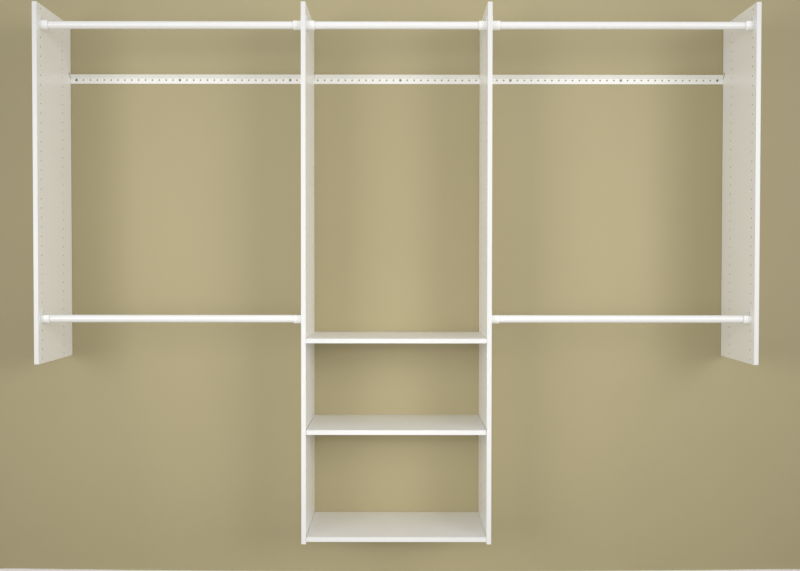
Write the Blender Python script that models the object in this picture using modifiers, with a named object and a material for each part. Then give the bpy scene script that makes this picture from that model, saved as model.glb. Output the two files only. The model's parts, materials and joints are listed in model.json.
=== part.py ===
# Wall mounted closet system: a steel rail screwed to the wall carries four drilled side panels.
# The middle pair holds a shelf tower, and closet rods hang in open sockets between the panels.
# Metres, +Z up, +X to the right, +Y into the wall. The wall's face is y = 0, the middle of the
# rail is x = 0, and z = 0 is the line of the rail's screw holes.

import math

import bmesh
import bpy
from mathutils import Matrix, Vector

# Driving sizes of the whole system
OVERALL_WIDTH = 2.4384
TOWER_OPENING = 0.6096
PANEL_THICKNESS = 0.015875
PANEL_DEPTH = 0.3556
PANEL_TOP = 0.2
SHORT_PANEL_ROWS = 38
TALL_PANEL_ROWS = 57

# Clearance between pieces that touch, and how far a cutter runs past the face it cuts
SEAT_GAP = 0.0003
CUT_OVERRUN = 0.002

# Rows of holes drilled in the panels, two columns on each panel
HOLE_PITCH = 0.032
HOLE_END = 0.016
HOLE_SETBACK = 0.037
HOLE_COLUMN_SPACING = 0.224
HOLE_RADIUS = 0.0025
HOLE_BLIND_DEPTH = 0.0115
HOLE_SIDES = 6

# Steel rail: a flat web against the wall, with its upper lip bent forward
RAIL_THICKNESS = 0.002
RAIL_WEB_BELOW = 0.0135
RAIL_WEB_ABOVE = 0.0065
RAIL_LIP_LENGTH = 0.0177
RAIL_LIP_LEAN = math.radians(45)
RAIL_HOLE_PITCH = 0.0254
RAIL_HOLE_RADIUS = 0.0032
RAIL_HOLE_SIDES = 6

# Slot in each panel's back edge that drops over the lip
SLOT_WIDTH = 0.005
SLOT_END_GAP = 0.01

# Studs in the wall, and the screws that go into them through the rail
STUD_SPACING = 0.4064
STUD_OFFSET = 0.0127
STUD_END_GAP = 0.0762
WALL_SCREW_LENGTH = 0.0635
WALL_SCREW_SHANK_RADIUS = 0.0024
WALL_SCREW_POINT = 0.008
WALL_SCREW_HEAD_RADIUS = 0.0046
WALL_SCREW_HEAD_HEIGHT = 0.0026
WALL_SCREW_HEAD_EDGE = 0.001
WALL_SCREW_HEAD_TOP_RADIUS = 0.0032
WALL_SCREW_SIDES = 8

# Closet rods, and the hole rows that their sockets are screwed to, counted from the top
ROD_RADIUS = 0.013
ROD_WALL = 0.0012
ROD_END_GAP = 0.0015
ROD_SIDES = 20
ROD_BELOW_SCREW = 0.023
UPPER_ROD_ROW = 1
LOWER_ROD_ROW = 32

# Rod socket: a plate on the panel with an open cup, a screw above it and a peg behind it
SOCKET_LENGTH = 0.028
SOCKET_PLATE = 0.003
SOCKET_WALL = 0.0025
SOCKET_FLANGE = 0.0008
SOCKET_RIM_BELOW_ROD_TOP = 0.001
SOCKET_TAB_RADIUS = 0.008
SOCKET_TAB_ABOVE_SCREW = 0.002
SOCKET_PEG_LENGTH = 0.0072
SOCKET_ARC_STEPS = 8
SOCKET_TAB_STEPS = 4

# Countersunk screw in each socket's tab
SOCKET_SCREW_RADIUS = 0.0022
SOCKET_SCREW_HEAD_RADIUS = 0.0042
SOCKET_SCREW_HEAD_DEPTH = 0.002
SOCKET_SCREW_DEPTH = 0.0072
SOCKET_SCREW_SIDES = 8

# Shelves of the tower, and the hole rows that carry them
FIXED_SHELF_ROWS = {"upper": 35, "bottom": 56}
LOOSE_SHELF_ROW = 45
LOOSE_SHELF_SIDE_GAP = 0.0008

# Shelf pins under the loose shelf: a round shank and a flat paddle
PIN_RADIUS = 0.0022
PIN_DEPTH = 0.0072
PIN_PADDLE_LENGTH = 0.009
PIN_PADDLE_WIDTH = 0.01
PIN_PADDLE_RISE = 0.0025
PIN_PADDLE_DROP = 0.0015
PIN_ROOT = 0.0008
PIN_SIDES = 8

# Cam locks in the undersides of the fixed shelves, and the posts that they grip
CAM_FROM_END = 0.024
CAM_RADIUS = 0.0097
CAM_HEIGHT = 0.0122
CAM_DISC = 0.0034
CAM_CLAW_WALL = 0.0026
CAM_CLAW_INSET = 0.0005
CAM_CLAW_START = math.radians(-140)
CAM_CLAW_CLOSED = math.radians(21)
CAM_CLAW_END = math.radians(66)
CAM_CLAW_STEPS = 7
CAM_SIDES = 12
CAM_SLOT_LENGTH = 0.011
CAM_SLOT_WIDTH = 0.002
CAM_SLOT_DEPTH = 0.0014
POST_SHANK_RADIUS = 0.0022
POST_SHANK_DEPTH = 0.0102
POST_COLLAR_RADIUS = 0.0034
POST_COLLAR_LENGTH = 0.0016
POST_ROD_RADIUS = 0.0028
POST_NECK_RADIUS = 0.0019
POST_NECK_LENGTH = 0.005
POST_HEAD_RADIUS = 0.0031
POST_HEAD_LENGTH = 0.003
POST_HEAD_FROM_CAM = 0.0054
POST_SIDES = 8
POST_BORE_RADIUS = 0.004
POST_BORE_SIDES = 8

# Places worked out from the sizes above
BACK_COLUMN = HOLE_SETBACK + HOLE_COLUMN_SPACING - PANEL_DEPTH
FRONT_COLUMN = HOLE_SETBACK - PANEL_DEPTH
END_FACE = OVERALL_WIDTH / 2 - PANEL_THICKNESS
TOWER_FACE = TOWER_OPENING / 2
TOWER_OUTER_FACE = TOWER_FACE + PANEL_THICKNESS
SOCKET_FACE = SEAT_GAP + SOCKET_PLATE

# Axis swaps: an outline drawn as (depth, height) and extruded sideways, and a shape turned
# about local Z laid along world X or along world Y
SIDEWAYS = Matrix(((0, 0, 1, 0), (1, 0, 0, 0), (0, 1, 0, 0), (0, 0, 0, 1)))
ALONG_X = Matrix.Rotation(math.pi / 2, 4, "Y")
ALONG_Y = Matrix.Rotation(-math.pi / 2, 4, "X")
TURNED = Matrix.Rotation(math.pi, 4, "Z")


def clear_scene():
    for obj in list(bpy.data.objects):
        bpy.data.objects.remove(obj, do_unlink=True)


def make_collection(name):
    collection = bpy.data.collections.new(name)
    bpy.context.scene.collection.children.link(collection)
    return collection


def make_material(name, colour, roughness, metallic):
    material = bpy.data.materials.new(name)
    material.use_nodes = True
    shader = material.node_tree.nodes["Principled BSDF"]
    shader.inputs["Base Color"].default_value = (*colour, 1.0)
    shader.inputs["Roughness"].default_value = roughness
    shader.inputs["Metallic"].default_value = metallic
    material.diffuse_color = (*colour, 1.0)
    return material


def row_height(row):
    return PANEL_TOP - HOLE_END - row * HOLE_PITCH


def around(apothem, sides):
    # Corner radius of a regular polygon whose flats lie at the given distance
    return apothem / math.cos(math.pi / sides)


def arc(radius, start, end, steps, centre=(0.0, 0.0)):
    turns = [start + (end - start) * step / steps for step in range(steps + 1)]
    return [
        (centre[0] + radius * math.cos(turn), centre[1] + radius * math.sin(turn))
        for turn in turns
    ]


def add_object(name, mesh, collection, material=None, matrix=None):
    obj = bpy.data.objects.new(name, mesh)
    collection.objects.link(obj)
    if matrix is not None:
        obj.matrix_world = matrix
    if material is not None and not mesh.materials:
        mesh.materials.append(material)
    return obj


def add_cutter(name, mesh, matrix=None):
    cutter = add_object(name, mesh, cutters, matrix=matrix)
    cutter.hide_render = True
    cutter.display_type = "WIRE"
    return cutter


def box_mesh(name, low, high):
    bm = bmesh.new()
    size = [top - bottom for bottom, top in zip(low, high)]
    middle = [(top + bottom) / 2 for bottom, top in zip(low, high)]
    place = Matrix.Translation(middle) @ Matrix.Diagonal((*size, 1.0))
    bmesh.ops.create_cube(bm, size=1.0, matrix=place)
    mesh = bpy.data.meshes.new(name)
    bm.to_mesh(mesh)
    bm.free()
    return mesh


def rods_mesh(name, rods, sides):
    # One mesh of separate cylinders or cones: (start radius, end radius, length, place) each,
    # with the place at the middle of its length and its axis along the place's Z
    bm = bmesh.new()
    for start_radius, end_radius, length, place in rods:
        bmesh.ops.create_cone(
            bm,
            cap_ends=True,
            segments=sides,
            radius1=start_radius,
            radius2=end_radius,
            depth=length,
            matrix=place,
        )
    mesh = bpy.data.meshes.new(name)
    bm.to_mesh(mesh)
    bm.free()
    return mesh


def outline_mesh(name, outline, thickness):
    # A flat outline in local XY, extruded evenly to both sides, as a welded mesh
    curve = bpy.data.curves.new(name, "CURVE")
    curve.dimensions = "2D"
    curve.fill_mode = "BOTH"
    curve.extrude = thickness / 2
    spline = curve.splines.new("POLY")
    spline.points.add(len(outline) - 1)
    for point, (across, up) in zip(spline.points, outline):
        point.co = (across, up, 0.0, 1.0)
    spline.use_cyclic_u = True
    drawn = add_object(name + "_outline", curve, cutters)
    graph = bpy.context.evaluated_depsgraph_get()
    mesh = bpy.data.meshes.new_from_object(drawn.evaluated_get(graph))
    mesh.name = name
    mesh.materials.clear()
    bpy.data.objects.remove(drawn, do_unlink=True)
    bm = bmesh.new()
    bm.from_mesh(mesh)
    bmesh.ops.remove_doubles(bm, verts=bm.verts, dist=SEAT_GAP / 10)
    bmesh.ops.recalc_face_normals(bm, faces=bm.faces)
    bm.to_mesh(mesh)
    bm.free()
    return mesh


def turned_mesh(name, profile, sides):
    # A closed (radius, height) profile, listed down its outer side, turned about local Z
    mesh = bpy.data.meshes.new(name + "_profile")
    loop = [(radius, 0.0, height) for radius, height in profile]
    on_axis = profile[0][0] == 0.0
    last = len(loop) - 1 if on_axis else len(loop)
    mesh.from_pydata(loop, [(step, (step + 1) % len(loop)) for step in range(last)], [])
    spun = add_object(name + "_profile", mesh, cutters)
    screw = spun.modifiers.new("turn", "SCREW")
    screw.steps = sides
    screw.render_steps = sides
    screw.use_merge_vertices = True
    screw.merge_threshold = SEAT_GAP / 10
    return baked(spun, name)


def cut(obj, cutter, operation="DIFFERENCE"):
    boolean = obj.modifiers.new(cutter.name, "BOOLEAN")
    boolean.operation = operation
    boolean.solver = "EXACT"
    boolean.object = cutter


def baked(obj, name):
    # The object's mesh with its modifiers and its place applied; the object itself is removed
    bpy.context.view_layer.update()
    graph = bpy.context.evaluated_depsgraph_get()
    mesh = bpy.data.meshes.new_from_object(obj.evaluated_get(graph))
    mesh.name = name
    mesh.transform(obj.matrix_world)
    bpy.data.objects.remove(obj, do_unlink=True)
    return mesh


def shade_round(mesh):
    mesh.shade_smooth()
    mesh.set_sharp_from_angle(angle=math.radians(50))


def lip_point(along, toward_wall):
    # (depth, height) of a point measured from the root of the lip's upper face: along the lip,
    # and square to it towards the wall
    lean_in, lean_up = math.sin(RAIL_LIP_LEAN), math.cos(RAIL_LIP_LEAN)
    depth = toward_wall * lean_up - along * lean_in
    return depth, RAIL_WEB_ABOVE + toward_wall * lean_in + along * lean_up


def lip_face_at(depth, toward_wall):
    # Where the lip's face, or a face parallel to it, comes to the given depth
    along = (toward_wall * math.cos(RAIL_LIP_LEAN) - depth) / math.sin(RAIL_LIP_LEAN)
    return lip_point(along, toward_wall)


def rail_holes():
    # The x of each hole, evenly spaced about the rail's middle
    count = round(OVERALL_WIDTH / RAIL_HOLE_PITCH)
    return [(number + 0.5 - count / 2) * RAIL_HOLE_PITCH for number in range(count)]


def make_rail():
    outline = [
        (0.0, -RAIL_WEB_BELOW),
        (0.0, RAIL_WEB_ABOVE),
        lip_point(RAIL_LIP_LENGTH, 0.0),
        lip_point(RAIL_LIP_LENGTH, -RAIL_THICKNESS),
        lip_face_at(-RAIL_THICKNESS, -RAIL_THICKNESS),
        (-RAIL_THICKNESS, -RAIL_WEB_BELOW),
    ]
    mesh = outline_mesh("wall_rail", outline, OVERALL_WIDTH)
    rail = add_object("wall_rail", mesh, closet, enamel, SIDEWAYS)
    radius = around(RAIL_HOLE_RADIUS, RAIL_HOLE_SIDES)
    length = RAIL_THICKNESS + 2 * CUT_OVERRUN
    holes = []
    for across in rail_holes():
        place = Matrix.Translation((across, -RAIL_THICKNESS / 2, 0.0)) @ ALONG_Y
        holes.append((radius, radius, length, place))
    cut(rail, add_cutter("rail_holes", rods_mesh("rail_holes", holes, RAIL_HOLE_SIDES)))


def wall_screw_places():
    # The first and the last hole that no panel covers, and between them the one nearest to
    # each stud
    covered = PANEL_THICKNESS / 2 + WALL_SCREW_HEAD_RADIUS + SEAT_GAP
    middles = [face + PANEL_THICKNESS / 2 for face in (TOWER_FACE, END_FACE)]
    clear = [
        hole
        for hole in rail_holes()
        if all(abs(abs(hole) - middle) > covered for middle in middles)
    ]
    studs = [STUD_OFFSET + step * STUD_SPACING for step in range(-len(clear), len(clear))]
    low, high = clear[0] + STUD_END_GAP, clear[-1] - STUD_END_GAP
    at_studs = [
        min(clear, key=lambda hole: abs(hole - stud)) for stud in studs if low < stud < high
    ]
    return [clear[0], *at_studs, clear[-1]]


def make_wall_screws():
    # The head's underside sits just off the rail's web, and the shank runs into the wall
    seat = RAIL_THICKNESS + SEAT_GAP
    tip = WALL_SCREW_LENGTH - seat
    profile = [
        (0.0, -seat - WALL_SCREW_HEAD_HEIGHT),
        (WALL_SCREW_HEAD_TOP_RADIUS, -seat - WALL_SCREW_HEAD_HEIGHT),
        (WALL_SCREW_HEAD_RADIUS, -seat - WALL_SCREW_HEAD_EDGE),
        (WALL_SCREW_HEAD_RADIUS, -seat),
        (WALL_SCREW_SHANK_RADIUS, -seat),
        (WALL_SCREW_SHANK_RADIUS, tip - WALL_SCREW_POINT),
        (0.0, tip),
    ]
    mesh = turned_mesh("wall_screw", profile[::-1], WALL_SCREW_SIDES)
    shade_round(mesh)
    for number, across in enumerate(wall_screw_places(), 1):
        place = Matrix.Translation((across, 0.0, 0.0)) @ ALONG_Y
        add_object(f"wall_screw_{number}", mesh, closet, dark_steel, place)


def make_panel(name, inner_face, side, rows, through):
    # inner_face is the x of the face that the bay or the tower sees, and side is -1 or 1: the
    # way the board's thickness goes from there
    bottom = PANEL_TOP - 2 * HOLE_END - (rows - 1) * HOLE_PITCH
    web_notch = -RAIL_THICKNESS - SEAT_GAP
    slot_front = SEAT_GAP - SLOT_WIDTH
    slot_end = RAIL_LIP_LENGTH + SLOT_END_GAP
    outline = [
        (-PANEL_DEPTH, bottom),
        (0.0, bottom),
        (0.0, -RAIL_WEB_BELOW - SEAT_GAP),
        (web_notch, -RAIL_WEB_BELOW - SEAT_GAP),
        lip_face_at(web_notch, slot_front),
        lip_point(slot_end, slot_front),
        lip_point(slot_end, SEAT_GAP),
        lip_face_at(0.0, SEAT_GAP),
        (0.0, PANEL_TOP),
        (-PANEL_DEPTH, PANEL_TOP),
    ]
    middle = inner_face + side * PANEL_THICKNESS / 2
    mesh = outline_mesh(name, outline, PANEL_THICKNESS)
    place = Matrix.Translation((middle, 0.0, 0.0)) @ SIDEWAYS
    panel = add_object(name, mesh, closet, melamine, place)
    depth = PANEL_THICKNESS + CUT_OVERRUN if through else HOLE_BLIND_DEPTH
    centre = inner_face + side * (depth - CUT_OVERRUN) / 2
    radius = around(HOLE_RADIUS, HOLE_SIDES)
    holes = []
    for row in range(rows):
        for column in (FRONT_COLUMN, BACK_COLUMN):
            where = Matrix.Translation((centre, column, row_height(row))) @ ALONG_X
            holes.append((radius, radius, depth + CUT_OVERRUN, where))
    cutter = add_cutter(name + "_holes", rods_mesh(name + "_holes", holes, HOLE_SIDES))
    cut(panel, cutter)


def make_socket_mesh():
    # Drawn with the panel's face at local x = 0 and the rod's axis along +X
    inner = around(ROD_RADIUS + SEAT_GAP, 2 * SOCKET_ARC_STEPS)
    outer = inner + SOCKET_WALL
    flange = outer + SOCKET_FLANGE
    rim = ROD_RADIUS - SOCKET_RIM_BELOW_ROD_TOP
    tab_centre = (0.0, ROD_BELOW_SCREW + SOCKET_TAB_ABOVE_SCREW)
    plate = arc(flange, math.pi, 2 * math.pi, SOCKET_ARC_STEPS)
    plate += [(flange, rim)]
    plate += arc(SOCKET_TAB_RADIUS, 0.0, math.pi, SOCKET_TAB_STEPS, tab_centre)
    plate += [(-flange, rim)]
    cup = arc(outer, math.pi, 2 * math.pi, SOCKET_ARC_STEPS) + [(outer, rim), (-outer, rim)]
    above = rim + CUT_OVERRUN
    bed = arc(inner, math.pi, 2 * math.pi, SOCKET_ARC_STEPS) + [(inner, above), (-inner, above)]
    bed_length = SOCKET_LENGTH - SOCKET_FACE + CUT_OVERRUN

    def laid(length, start):
        return Matrix.Translation((start + length / 2, 0.0, 0.0)) @ SIDEWAYS

    place = laid(SOCKET_PLATE, SEAT_GAP)
    body = add_object("socket", outline_mesh("socket", plate, SOCKET_PLATE), closet, plastic, place)
    cup_start = SEAT_GAP + SOCKET_PLATE / 2
    cup_length = SOCKET_LENGTH - cup_start
    cup_solid = outline_mesh("socket_cup", cup, cup_length)
    cut(body, add_cutter("socket_cup", cup_solid, laid(cup_length, cup_start)), "UNION")
    bed_solid = outline_mesh("socket_bed", bed, bed_length)
    cut(body, add_cutter("socket_bed", bed_solid, laid(bed_length, SOCKET_FACE)))

    peg_length = SOCKET_PEG_LENGTH + cup_start
    peg_middle = cup_start - peg_length / 2
    peg_place = Matrix.Translation((peg_middle, 0.0, ROD_BELOW_SCREW - HOLE_PITCH)) @ ALONG_X
    peg = [(SOCKET_SCREW_RADIUS, SOCKET_SCREW_RADIUS, peg_length, peg_place)]
    peg_mesh = rods_mesh("socket_peg", peg, SOCKET_SCREW_SIDES)
    cut(body, add_cutter("socket_peg", peg_mesh), "UNION")

    # The countersink keeps the head's slope, so that the gap round the screw is even
    screw_line = Matrix.Translation((0.0, 0.0, ROD_BELOW_SCREW))
    profile = countersunk_profile(SEAT_GAP, CUT_OVERRUN, SOCKET_FACE + CUT_OVERRUN)
    hole = turned_mesh("socket_countersink", profile, SOCKET_SCREW_SIDES)
    cut(body, add_cutter("socket_countersink", hole, screw_line @ ALONG_X))
    mesh = baked(body, "rod_socket")
    shade_round(mesh)
    return mesh


def countersunk_profile(grow, above, length):
    # Head and shank of the socket screw as (radius, height), grown sideways; height 0 is the
    # panel's face, the head is flush with the plate and may be carried on above it
    slope = (SOCKET_SCREW_HEAD_RADIUS - SOCKET_SCREW_RADIUS) / SOCKET_SCREW_HEAD_DEPTH
    wide = SOCKET_SCREW_HEAD_RADIUS + grow + slope * above
    narrow = SOCKET_SCREW_RADIUS + grow
    return [
        (0.0, SOCKET_FACE + above),
        (wide, SOCKET_FACE + above),
        (narrow, SOCKET_FACE - SOCKET_SCREW_HEAD_DEPTH),
        (narrow, SOCKET_FACE - length),
        (0.0, SOCKET_FACE - length),
    ]


def make_rod(name, left_face, right_face, screw_row, socket, screw):
    height = row_height(screw_row) - ROD_BELOW_SCREW
    middle = (left_face + right_face) / 2
    half = (right_face - left_face) / 2 - SOCKET_FACE - ROD_END_GAP
    bore = ROD_RADIUS - ROD_WALL
    profile = [(ROD_RADIUS, half), (ROD_RADIUS, -half), (bore, -half), (bore, half)]
    mesh = turned_mesh("rod_" + name, profile, ROD_SIDES)
    shade_round(mesh)
    place = Matrix.Translation((middle, FRONT_COLUMN, height)) @ ALONG_X
    add_object("rod_" + name, mesh, closet, rod_enamel, place)
    for end, face, turn in ((1, left_face, Matrix()), (2, right_face, TURNED)):
        at_rod = Matrix.Translation((face, FRONT_COLUMN, height)) @ turn
        add_object(f"rod_socket_{name}_{end}", socket, closet, plastic, at_rod)
        at_screw = Matrix.Translation((face, FRONT_COLUMN, row_height(screw_row))) @ turn
        add_object(f"socket_screw_{name}_{end}", screw, closet, screw_steel, at_screw @ ALONG_X)


def make_rods():
    socket = make_socket_mesh()
    screw = turned_mesh(
        "socket_screw",
        countersunk_profile(0.0, 0.0, SOCKET_FACE + SOCKET_SCREW_DEPTH),
        SOCKET_SCREW_SIDES,
    )
    shade_round(screw)
    bays = {
        "left": (-END_FACE, -TOWER_OUTER_FACE),
        "centre": (-TOWER_FACE, TOWER_FACE),
        "right": (TOWER_OUTER_FACE, END_FACE),
    }
    for bay, (left_face, right_face) in bays.items():
        make_rod("upper_" + bay, left_face, right_face, UPPER_ROD_ROW, socket, screw)
        if bay != "centre":
            make_rod("lower_" + bay, left_face, right_face, LOWER_ROD_ROW, socket, screw)


def cam_places(height):
    # (corner name, side, depth) of a fixed shelf's four cams, and the cam's centre
    for end, side in (("left", -1), ("right", 1)):
        for column, depth in (("front", FRONT_COLUMN), ("back", BACK_COLUMN)):
            across = side * (TOWER_FACE - SEAT_GAP - CAM_FROM_END)
            yield f"{column}_{end}", side, Vector((across, depth, height))


def ring_part(inner, outer, start, end):
    # Outline of part of a flat ring, between two radii and two angles
    away = arc(outer, start, end, CAM_CLAW_STEPS)
    return away + arc(inner, end, start, CAM_CLAW_STEPS)


def make_cam_mesh():
    # Disc with a screwdriver slot below, and a claw round two thirds of it. The claw is split
    # at the post's height, from its open end to near the other, so that it passes above and
    # below the post's neck and holds the head. Local z = 0 is the disc's underside, and the
    # post comes in along local +X.
    disc_place = Matrix.Translation((0.0, 0.0, CAM_DISC / 2))
    disc = rods_mesh("cam", [(CAM_RADIUS, CAM_RADIUS, CAM_DISC, disc_place)], CAM_SIDES)
    body = add_object("cam", disc, closet, cam_metal)
    claw_bottom = CAM_DISC / 2
    claw_height = CAM_HEIGHT - claw_bottom
    outer = CAM_RADIUS - CAM_CLAW_INSET
    inner = outer - CAM_CLAW_WALL
    claw_outline = ring_part(inner, outer, CAM_CLAW_START, CAM_CLAW_END)
    claw = outline_mesh("cam_claw", claw_outline, claw_height)
    claw_place = Matrix.Translation((0.0, 0.0, claw_bottom + claw_height / 2))
    cut(body, add_cutter("cam_claw", claw, claw_place), "UNION")

    split_start = CAM_CLAW_START - CUT_OVERRUN / inner
    split_outline = ring_part(
        inner - CUT_OVERRUN, outer + CUT_OVERRUN, split_start, CAM_CLAW_CLOSED
    )
    split = outline_mesh("cam_split", split_outline, 2 * (POST_NECK_RADIUS + SEAT_GAP))
    split_place = Matrix.Translation((0.0, 0.0, PANEL_THICKNESS / 2))
    cut(body, add_cutter("cam_split", split, split_place))

    half_length, half_width = CAM_SLOT_LENGTH / 2, CAM_SLOT_WIDTH / 2
    slot = box_mesh(
        "cam_slot",
        (-half_length, -half_width, -CUT_OVERRUN),
        (half_length, half_width, CAM_SLOT_DEPTH),
    )
    cut(body, add_cutter("cam_slot", slot))
    mesh = baked(body, "cam_lock")
    shade_round(mesh)
    return mesh


def make_post_mesh():
    # Local z = 0 is the panel's face, +Z runs into the shelf
    collar_start = 2 * SEAT_GAP
    collar_end = collar_start + POST_COLLAR_LENGTH
    head_start = SEAT_GAP + CAM_FROM_END - POST_HEAD_FROM_CAM
    head_end = head_start + POST_HEAD_LENGTH
    profile = [
        (0.0, head_end),
        (POST_HEAD_RADIUS, head_end),
        (POST_HEAD_RADIUS, head_start),
        (POST_NECK_RADIUS, head_start),
        (POST_NECK_RADIUS, head_start - POST_NECK_LENGTH),
        (POST_ROD_RADIUS, head_start - POST_NECK_LENGTH),
        (POST_ROD_RADIUS, collar_end),
        (POST_COLLAR_RADIUS, collar_end),
        (POST_COLLAR_RADIUS, collar_start),
        (POST_SHANK_RADIUS, collar_start),
        (POST_SHANK_RADIUS, -POST_SHANK_DEPTH),
        (0.0, -POST_SHANK_DEPTH),
    ]
    mesh = turned_mesh("cam_post", profile, POST_SIDES)
    shade_round(mesh)
    return mesh


def make_fixed_shelf(name, row, cam, post):
    height = row_height(row)
    half_width = TOWER_FACE - SEAT_GAP
    underside = height - PANEL_THICKNESS / 2
    board = box_mesh(
        "shelf_" + name,
        (-half_width, -PANEL_DEPTH, underside),
        (half_width, 0.0, height + PANEL_THICKNESS / 2),
    )
    shelf = add_object("shelf_" + name, board, closet, melamine)
    bore_radius = around(CAM_RADIUS + 2 * SEAT_GAP, CAM_SIDES)
    bore_depth = CAM_HEIGHT + SEAT_GAP
    bore_length = bore_depth + CUT_OVERRUN
    post_radius = around(POST_BORE_RADIUS, POST_BORE_SIDES)
    post_length = CAM_FROM_END + CUT_OVERRUN
    bores, post_bores = [], []
    for corner, side, centre in cam_places(height):
        bore_middle = underside + bore_depth - bore_length / 2
        bore_place = Matrix.Translation((centre.x, centre.y, bore_middle))
        bores.append((bore_radius, bore_radius, bore_length, bore_place))
        bore_start = centre.x + side * post_length / 2
        post_place = Matrix.Translation((bore_start, centre.y, height)) @ ALONG_X
        post_bores.append((post_radius, post_radius, post_length, post_place))

        # The cam turns about its own Z, and its +X faces the panel's post
        turn = Matrix() if side > 0 else TURNED
        cam_place = Matrix.Translation((centre.x, centre.y, underside)) @ turn
        add_object(f"cam_lock_{name}_{corner}", cam, closet, cam_metal, cam_place)
        face = Matrix.Translation((side * TOWER_FACE, centre.y, height))
        post_turn = TURNED if side > 0 else Matrix()
        add_object(
            f"cam_post_{name}_{corner}", post, closet, cam_metal, face @ post_turn @ ALONG_X
        )
    cut(shelf, add_cutter(f"{name}_cam_bores", rods_mesh("cam_bores", bores, CAM_SIDES)))
    post_cutter = rods_mesh("post_bores", post_bores, POST_BORE_SIDES)
    cut(shelf, add_cutter(f"{name}_post_bores", post_cutter))


def make_pin_mesh():
    # Local x = 0 is the panel's face, +X runs under the shelf
    half_width = PIN_PADDLE_WIDTH / 2
    paddle = box_mesh(
        "pin",
        (SEAT_GAP, -half_width, -PIN_PADDLE_DROP),
        (PIN_PADDLE_LENGTH, half_width, PIN_PADDLE_RISE),
    )
    body = add_object("pin", paddle, closet, screw_steel)
    shank_end = SEAT_GAP + PIN_ROOT
    length = PIN_DEPTH + shank_end
    place = Matrix.Translation((shank_end - length / 2, 0.0, 0.0)) @ ALONG_X
    shank = rods_mesh("pin_shank", [(PIN_RADIUS, PIN_RADIUS, length, place)], PIN_SIDES)
    cut(body, add_cutter("pin_shank", shank), "UNION")
    return baked(body, "shelf_pin")


def make_loose_shelf():
    pin = make_pin_mesh()
    pin_height = row_height(LOOSE_SHELF_ROW)
    for end, face, turn in (
        ("left", -TOWER_FACE, Matrix()),
        ("right", TOWER_FACE, TURNED),
    ):
        for column, depth in (("front", FRONT_COLUMN), ("back", BACK_COLUMN)):
            place = Matrix.Translation((face, depth, pin_height)) @ turn
            add_object(f"shelf_pin_{column}_{end}", pin, closet, screw_steel, place)
    half_width = TOWER_FACE - LOOSE_SHELF_SIDE_GAP
    underside = pin_height + PIN_PADDLE_RISE + SEAT_GAP
    board = box_mesh(
        "shelf_middle",
        (-half_width, -PANEL_DEPTH, 0.0),
        (half_width, 0.0, PANEL_THICKNESS),
    )
    place = Matrix.Translation((0.0, 0.0, underside))
    add_object("shelf_middle", board, closet, melamine, place)


clear_scene()
closet = make_collection("closet_system")
cutters = make_collection("cutters")
melamine = make_material("white_melamine", (0.86, 0.855, 0.83), 0.38, 0.0)
enamel = make_material("rail_enamel", (0.87, 0.86, 0.82), 0.42, 0.0)
rod_enamel = make_material("rod_enamel", (0.9, 0.9, 0.88), 0.28, 0.0)
plastic = make_material("socket_plastic", (0.9, 0.9, 0.88), 0.35, 0.0)
dark_steel = make_material("dark_steel", (0.16, 0.15, 0.14), 0.45, 1.0)
screw_steel = make_material("screw_steel", (0.5, 0.5, 0.5), 0.35, 1.0)
cam_metal = make_material("cam_metal", (0.62, 0.62, 0.6), 0.4, 1.0)

make_rail()
make_wall_screws()
make_panel("panel_end_left", -END_FACE, -1, SHORT_PANEL_ROWS, False)
make_panel("panel_end_right", END_FACE, 1, SHORT_PANEL_ROWS, False)
make_panel("panel_tower_left", -TOWER_FACE, -1, TALL_PANEL_ROWS, True)
make_panel("panel_tower_right", TOWER_FACE, 1, TALL_PANEL_ROWS, True)
make_rods()
cam_mesh = make_cam_mesh()
post_mesh = make_post_mesh()
for shelf_name, shelf_row in FIXED_SHELF_ROWS.items():
    make_fixed_shelf(shelf_name, shelf_row, cam_mesh, post_mesh)
make_loose_shelf()
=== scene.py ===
import json
import math
import bpy
import bmesh
import numpy as np
from mathutils import Euler, Matrix, Vector


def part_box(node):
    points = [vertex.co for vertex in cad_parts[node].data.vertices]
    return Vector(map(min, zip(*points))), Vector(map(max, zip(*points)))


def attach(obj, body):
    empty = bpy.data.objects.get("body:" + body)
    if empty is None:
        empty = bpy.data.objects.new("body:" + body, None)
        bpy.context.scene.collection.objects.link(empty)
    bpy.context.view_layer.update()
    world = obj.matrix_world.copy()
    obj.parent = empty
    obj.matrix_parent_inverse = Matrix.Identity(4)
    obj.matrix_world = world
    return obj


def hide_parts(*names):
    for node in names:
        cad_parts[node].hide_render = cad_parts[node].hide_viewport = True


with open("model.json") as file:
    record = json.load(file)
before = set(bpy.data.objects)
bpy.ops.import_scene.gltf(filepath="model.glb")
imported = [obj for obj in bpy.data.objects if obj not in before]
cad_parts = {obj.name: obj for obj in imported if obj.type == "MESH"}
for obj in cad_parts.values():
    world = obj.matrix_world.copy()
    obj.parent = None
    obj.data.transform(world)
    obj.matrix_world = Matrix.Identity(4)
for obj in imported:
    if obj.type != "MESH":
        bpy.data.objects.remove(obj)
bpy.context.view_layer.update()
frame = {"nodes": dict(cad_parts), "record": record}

print("stage 1: frame loaded,", len(frame["nodes"]), "nodes")

view = {"lensMm": 46.29, "sensorMm": 36.0, "place": (0.0109, -3.8109, -0.6734),
        "tilt": 88.746, "roll": -0.052, "turn": -0.016}


def setCamera():
    data = bpy.data.cameras.new("photoCamera")
    data.sensor_fit = "HORIZONTAL"
    data.sensor_width = view["sensorMm"]
    data.lens = view["lensMm"]
    camera = bpy.data.objects.new("photoCamera", data)
    camera.location = view["place"]
    camera.rotation_euler = Euler([math.radians(view[key]) for key in ("tilt", "roll", "turn")])
    bpy.context.scene.collection.objects.link(camera)
    bpy.context.scene.camera = camera


setCamera()

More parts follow.
